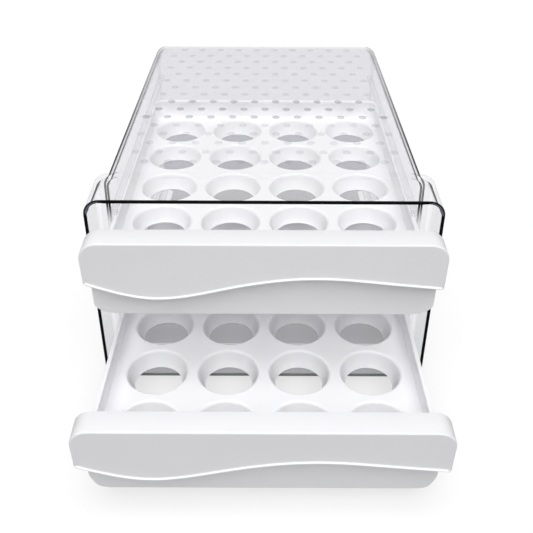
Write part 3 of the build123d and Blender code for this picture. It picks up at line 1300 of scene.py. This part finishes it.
    def front_panel(self, shell: Shell) -> None:
        """Adds the panel over the front wall: a plate whose lower corners are quarter ellipses.

        Args:
            shell: Takes the surfaces.
        """
        p = self.place
        margin, run, rise = PANEL_SIDES[p.level]
        half, low, high = p.cap_half - margin, p.foot_z, p.deck_z + self.panel_top
        foot = quarter((half - run, low), (half, low), (half, low + rise), 14)
        mirrored = foot[::-1] * (-1.0, 1.0)
        left, right, down = np.array([1.0, 0.0]), np.array([-1.0, 0.0]), np.array([0.0, -1.0])
        tops = [corner(np.array([half, high]), right, down, self.panel_radius, 4),
                corner(np.array([-half, high]), down, left, self.panel_radius, 4)]
        loop = chain([stretch(mirrored), stretch(foot), *tops], [crowded(16), crowded(4)] * 2)
        front = p.front_y - self.panel_proud
        shell.slab(loop, on_elevation, front, front + self.panel_thickness, self.panel_edge)

    def nubs(self, shell: Shell) -> None:
        """Adds the two stop nubs: small plates that stand on the rims, sunk a little into them.

        Args:
            shell: Takes the surfaces.
        """
        p = self.place
        front = p.back_y - self.nub_from_back
        back = front + self.nub_length
        middle = p.half(front) - self.rim_width / 2
        for x in (-middle, middle):
            low, high = x - self.nub_width / 2, x + self.nub_width / 2
            loop = rounded_polygon([(low, front), (high, front), (high, back), (low, back)],
                                   [self.nub_radius] * 4, 3, [crowded(3)] * 4)
            shell.slab(loop, on_plan, p.rim_z - self.nub_sunk, p.rim_z + self.nub_height, self.nub_edge)


@dataclass
class Front:
    """Drawer front: a deep rounded cap with a waved lower edge that ends in a proud bead.

    The bead's section is given as pairs of distance from the edge and depth from the cap's face: the upper
    ones count from the bead's height, the lower ones from the edge itself.
    """

    place: DrawerPlace
    depth: float = 15.9
    corner_radius: float = 11.4
    skin: float = 2.2
    edge_round: float = 0.9
    bead_height: float = 1.4
    bead_proud: float = 2.0
    bead_upper: tuple[tuple[float, float], ...] = (
        (1.2, 0.0), (0.9, 0.0), (0.45, 0.0), (0.12, -0.1), (-0.1, -0.3), (-0.28, -0.62), (-0.52, -0.88),
        (-0.8, -1.0))
    bead_lower: tuple[tuple[float, float], ...] = ((0.35, -1.0), (0.1, -0.8), (0.0, -0.35), (0.0, 0.6))
    end_round: float = 0.4
    end_fade: float = 1.4
    end_reach: float = 3.2
    edge_points: int = 140
    near_ends: tuple[float, float] = (0.4, 0.9)
    foot_steps: int = 5
    corner_steps: int = 14
    rim_room: float = 3.4
    notch_room: float = 0.4
    notch_radius: float = 0.5
    rear_edge: float = 0.3
    overlap: float = 0.2
    wave_points: tuple[tuple[float, float], ...] = (
        (-1.0, 14.5), (-0.642, 3.4), (-0.186, 11.3), (0.298, 18.4), (0.65, 15.4), (1.0, 11.4))

    def wave(self, x: np.ndarray) -> np.ndarray:
        """Height of the lower edge above the deck: a natural cubic spline through the measured points.

        Args:
            x: Places across the cap.

        Returns:
            The height at each place.
        """
        knots = np.array(self.wave_points) * (self.place.cap_half, 1.0)
        kx, kz = knots[:, 0], knots[:, 1]
        gap = np.diff(kx)
        slope = np.diff(kz) / gap
        size = len(kx)
        system = np.eye(size)
        right = np.zeros(size)
        inner = np.arange(1, size - 1)
        system[inner, inner - 1] = gap[:-1]
        system[inner, inner] = 2 * (gap[:-1] + gap[1:])
        system[inner, inner + 1] = gap[1:]
        right[inner] = 6 * np.diff(slope)
        curve = np.linalg.solve(system, right)
        i = np.clip(np.searchsorted(kx, x) - 1, 0, size - 2)
        a, b = (kx[i + 1] - x) / gap[i], (x - kx[i]) / gap[i]
        bend = ((a ** 3 - a) * curve[i] + (b ** 3 - b) * curve[i + 1]) * gap[i] ** 2 / 6
        return a * kz[i] + b * kz[i + 1] + bend

    def outline(self) -> tuple[Outline, np.ndarray]:
        """Elevation of the cap, and how far each of its points belongs to the waved edge, from 0 to 1.

        Near both ends, the edge's points are drawn in towards the middle as well as upwards, by as much as
        the side walls are drawn in, so that no inner row of the sweep passes the corner's.

        Returns:
            The loop and the shares.
        """
        p = self.place
        half, r = p.cap_half, self.end_round
        near = half - r - np.array(self.near_ends)
        xs = np.unique(np.concatenate([np.linspace(-half + r, half - r, self.edge_points), near, -near]))
        edge = stretch(np.column_stack([xs, p.deck_z + self.wave(xs) - self.bead_height / 2]))
        run = r / (xs[1] - xs[0])
        ends = np.array([[-half, edge.anchor[0, 1] + run * (edge.anchor[0, 1] - edge.anchor[1, 1])],
                         [half, edge.anchor[-1, 1] + run * (edge.anchor[-1, 1] - edge.anchor[-2, 1])]])
        left, right, down = np.array([1.0, 0.0]), np.array([-1.0, 0.0]), np.array([0.0, -1.0])
        right_foot = corner(ends[1], edge.mitre[-1], right, r, self.foot_steps)
        left_foot = corner(ends[0], left, edge.mitre[0], r, self.foot_steps)
        outer = np.sign(xs)
        turned = (half - np.abs(xs)) / self.end_reach - 1.0
        edge.mitre[:, 0] = outer * np.minimum(outer * edge.mitre[:, 0], turned)
        right_top = corner(np.array([half, p.cap_top_z]), right, down, self.corner_radius, self.corner_steps)
        left_top = corner(np.array([-half, p.cap_top_z]), down, left, self.corner_radius, self.corner_steps)
        loop = chain([edge, right_foot, right_top, left_top, left_foot],
                     [(), crowded(8)[1:], crowded(24), crowded(8)[:-1], ()])
        waved = np.zeros(len(loop.radius))
        waved[:len(xs)] = np.sqrt(np.clip((half - r - np.abs(xs)) / self.end_fade, 0.0, 1.0))
        return loop, waved

    def build(self, finish: bpy.types.Material) -> bpy.types.Object:
        """Makes the cap as one mesh.

        Its section runs from the middle of the face over the edge to the inside. The plain one has a rounded
        edge and goes back to the cap's rear, and the beaded one ends at the face's own thickness.

        Args:
            finish: Its material.

        Returns:
            The piece.
        """
        p = self.place
        face = p.cap_lip_y + self.bead_proud
        back, skin, e = face + self.depth, self.skin, self.edge_round
        h = self.bead_height
        inside = face + skin
        # The two profiles have as many rows as each other; on a flat, a row's place only keeps them in step.
        plain = [(h + 1.2, face), (h + 0.9, face), (h + 0.6, face), (h, face), (1.3 * e, face), (e, face),
                 *quarter((e, face), (0.0, face), (0.0, face + e), 5)[1:].tolist(), (0.0, face + skin * 0.7),
                 *eased(0.0, back, (0, -1), (1, 0)), (skin - 0.4, back), (skin, back - 0.4),
                 *eased(skin, inside, (0, 1), (1, 0)), (skin + 0.8, inside)]
        beaded = [*((h + x, face + y) for x, y in self.bead_upper),
                  *((x, face + y) for x, y in self.bead_lower), *eased(0.0, inside, (0, -1), (1, 0)),
                  *((x, inside) for x in (1.0, 1.5, skin - 0.2, skin + 0.15, skin + 0.5, skin + 0.8))]
        loop, waved = self.outline()
        shell = Shell()
        rows = [np.column_stack([flat[:, 0], level, flat[:, 1]])
                for flat, level in blended(loop, waved, plain, beaded)]
        shell.grid(np.array(rows))
        shell.panel(rows[0][:, ::2], on_elevation(face))
        shell.panel(rows[-1][:, ::2], on_elevation(inside))
        self.rear_skin(shell, back)
        piece = shell.build(f"{p.level}_front_cap", [finish])
        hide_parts(f"{p.level}_front")
        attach(piece, f"{p.level}_drawer")
        return piece

    def rear_skin(self, shell: Shell, back: float) -> None:
        """Adds the rear wall of the cap: a plate notched at both sides over the tray's rims.

        Args:
            shell: Takes the surfaces.
            back: Depth of the cap's rear face.
        """
        p = self.place
        half, top = p.cap_half - self.skin + self.overlap, p.cap_top_z - self.skin + self.overlap
        rim_half = p.half(back) - self.rim_room
        low, notch = p.deck_z + self.notch_room, p.rim_z + self.notch_room
        corners = [(-rim_half, low), (rim_half, low), (rim_half, notch), (half, notch), (half, top),
                   (-half, top), (-half, notch), (-rim_half, notch)]
        r, n = self.corner_radius - self.skin, self.notch_radius
        loop = rounded_polygon(corners, [n, n, 0.0, n, r, r, n, 0.0], 6, [crowded(4)] * 8)
        shell.slab(loop, on_elevation, back - self.skin, back, self.rear_edge)


@dataclass
class Studio:
    """White sweep, soft light and the photograph's camera."""

    picture: float = 533.0
    sensor: float = 36.0
    focal: float = 735.38
    place: tuple[float, float, float] = (0.0017, -0.5226, 0.3858)
    pitch: float = 36.53
    yaw: float = 0.02
    roll: float = 0.21
    sky: float = 0.26
    overhead: float = 0.2
    overhead_spread: float = 40.0
    front: float = 2.42
    front_tilt: float = 27.0
    front_spread: float = 65.0
    table: str = "A6A6A6"
    glow: float = 0.63
    clear_bounces: int = 32
    soft_bounces: int = 8
    table_half: float = 6000.0
    table_gap: float = 0.3

    def camera(self) -> None:
        """Camera from the fitted view: columns are its right, its up and the way back."""
        data = bpy.data.cameras.new("camera")
        data.sensor_width = self.sensor
        data.lens = self.focal / self.picture * self.sensor
        p, y, r = radians(self.pitch), radians(self.yaw), radians(self.roll)
        ahead = Vector((-sin(y) * cos(p), cos(y) * cos(p), -sin(p)))
        right = Vector((cos(y), sin(y), 0.0))
        up = right.cross(ahead)
        turned_right = cos(r) * right + sin(r) * up
        turned_up = -sin(r) * right + cos(r) * up
        turn = Matrix((turned_right, turned_up, -ahead)).transposed()
        made = bpy.data.objects.new("camera", data)
        made.matrix_world = Matrix.Translation(self.place) @ turn.to_4x4()
        bpy.context.scene.collection.objects.link(made)
        bpy.context.scene.camera = made

    def world(self) -> None:
        """Even sky that shows as white to the camera, in gloss and through clear walls."""
        sky = Finish("sky", "worlds")
        path = sky.node("LightPath")
        seen = sky.node("Math", {0: path["Is Camera Ray"], 1: path["Is Glossy Ray"]}, operation="MAXIMUM")
        clear = sky.node("Math", {0: seen["Value"], 1: path["Is Transmission Ray"]}, operation="MAXIMUM")
        level = sky.node("MapRange", {"Value": clear["Value"], "To Min": self.sky})
        light = sky.node("Background", {"Color": linear("FFFFFF"), "Strength": level["Result"]})
        bpy.context.scene.world = sky.done(light["Background"])

    def floor(self) -> None:
        """White table top that keeps the object's soft shadow."""
        finish = Finish("white_table")
        seen = finish.node("LightPath")["Is Camera Ray"]
        matt = finish.node("BsdfDiffuse", {"Color": linear(self.table)})
        level = finish.node("Math", {0: seen, 1: self.glow}, operation="MULTIPLY")
        glow = finish.node("Emission", {"Strength": level["Value"]})
        both = finish.node("AddShader", {0: matt["BSDF"], 1: glow["Emission"]})
        half, top = self.table_half, -self.table_gap
        corners = [(x * half, y * half, top) for x, y in ((-1, -1), (1, -1), (1, 1), (-1, 1))]
        shell = Shell()
        shell.add(np.array(corners), np.array([[0, 1, 2, 3]]))
        floor = shell.build("table_top", [finish.done(both["Shader"])])

    def lamp(self, name: str, strength: float, spread: float, tilt: float) -> None:
        """Adds a broad distant light.

        Args:
            name: Name of the light.
            strength: Its energy.
            spread: Its angle in the sky in degrees.
            tilt: How far it is tilted from straight overhead towards the front, in degrees.
        """
        data = bpy.data.lights.new(name, "SUN")
        data.energy = strength
        data.angle = radians(spread)
        made = bpy.data.objects.new(name, data)
        made.rotation_euler = (radians(tilt), 0.0, 0.0)
        bpy.context.scene.collection.objects.link(made)

    def build(self) -> None:
        """Sets the stage and the view transform."""
        scene = bpy.context.scene
        scene.view_settings.view_transform = "Standard"
        scene.cycles.transparent_max_bounces = self.clear_bounces
        scene.cycles.diffuse_bounces = self.soft_bounces
        self.camera()
        self.world()
        self.floor()
        self.lamp("overhead", self.overhead, self.overhead_spread, 0.0)
        self.lamp("front", self.front, self.front_spread, self.front_tilt)


def main() -> None:
    """Builds every piece around the frame and notes the sizes."""
    logging.basicConfig(level=logging.INFO, format="%(name)s: %(message)s")
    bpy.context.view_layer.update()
    Studio().build()
    # The tray's white is a little lighter than the front's; the extra is painted light that lifts the shade
    # in its deck and cups.
    tray_finish = Polypropylene("polypropylene_tray", "FBFBFD", "F9F9FB", roughness=0.30, grain_mm=0.5,
                                grain_depth=0.02).make()
    front_finish = Polypropylene("polypropylene_front", "F8F8FB", "F5F5F8", roughness=0.42, grain_mm=0.35,
                                 grain_depth=0.03).make()
    shell_finishes = {
        Zone.CLEAR: ClearStyrene("clear_styrene_wall", "FFFFFF", "F8F8FA", "0A0B0D", line_from=0.67).make(),
        # The cut edge's colours are painted shade, a painted sky reflection at the corners and painted light
        # near the table.
        Zone.EDGE: CutEdge("styrene_cut_edge", "060708", "6C6F78", "B4B6B8", roughness=0.2).make(),
        # The step line is painted shade in the hollow where the step meets the body.
        Zone.FOOT: StepLine("styrene_step_line", "101114", fade_from=126.0, fade_to=112.0).make(),
        # The floor's grey tint is painted shade, for the shaded table under the case seen through it.
        Zone.FLOOR: ClearStyrene("clear_styrene_floor", "E2E2E4", "D8D8DA", "26282C", line_from=0.64).make(),
        # The rear's grey tint, darker towards the bottom, is painted shade, for the shaded table behind the
        # case seen through it.
        Zone.REAR: ClearStyrene("clear_styrene_rear", "EFEFF1", "EFEFF2", "26282C", line_from=0.64,
                                low="E2E2E5").make(),
        Zone.STEP: ClearStyrene("clear_styrene_step", "F7F7F9", "EAEAEC", "26282C", line_from=0.64).make(),
    }
    runner = ClearStyrene("clear_styrene_runner", "FDFDFE", "EEEEF0", "A0A0A4", line_from=0.6).make()
    dots = Frosted("frosted_dot", "E2E3E6", "F8F8F9").make()
    pieces = Case().build([shell_finishes[zone] for zone in Zone], runner, dots)
    for level in ("upper", "lower"):
        place = DrawerPlace(level)
        pieces.append(Tray(place).build(tray_finish))
        pieces.append(Front(place).build(front_finish))
    for piece in pieces:
        LOG.info("%s is in place", piece.name)


if __name__ == "__main__":
    main()
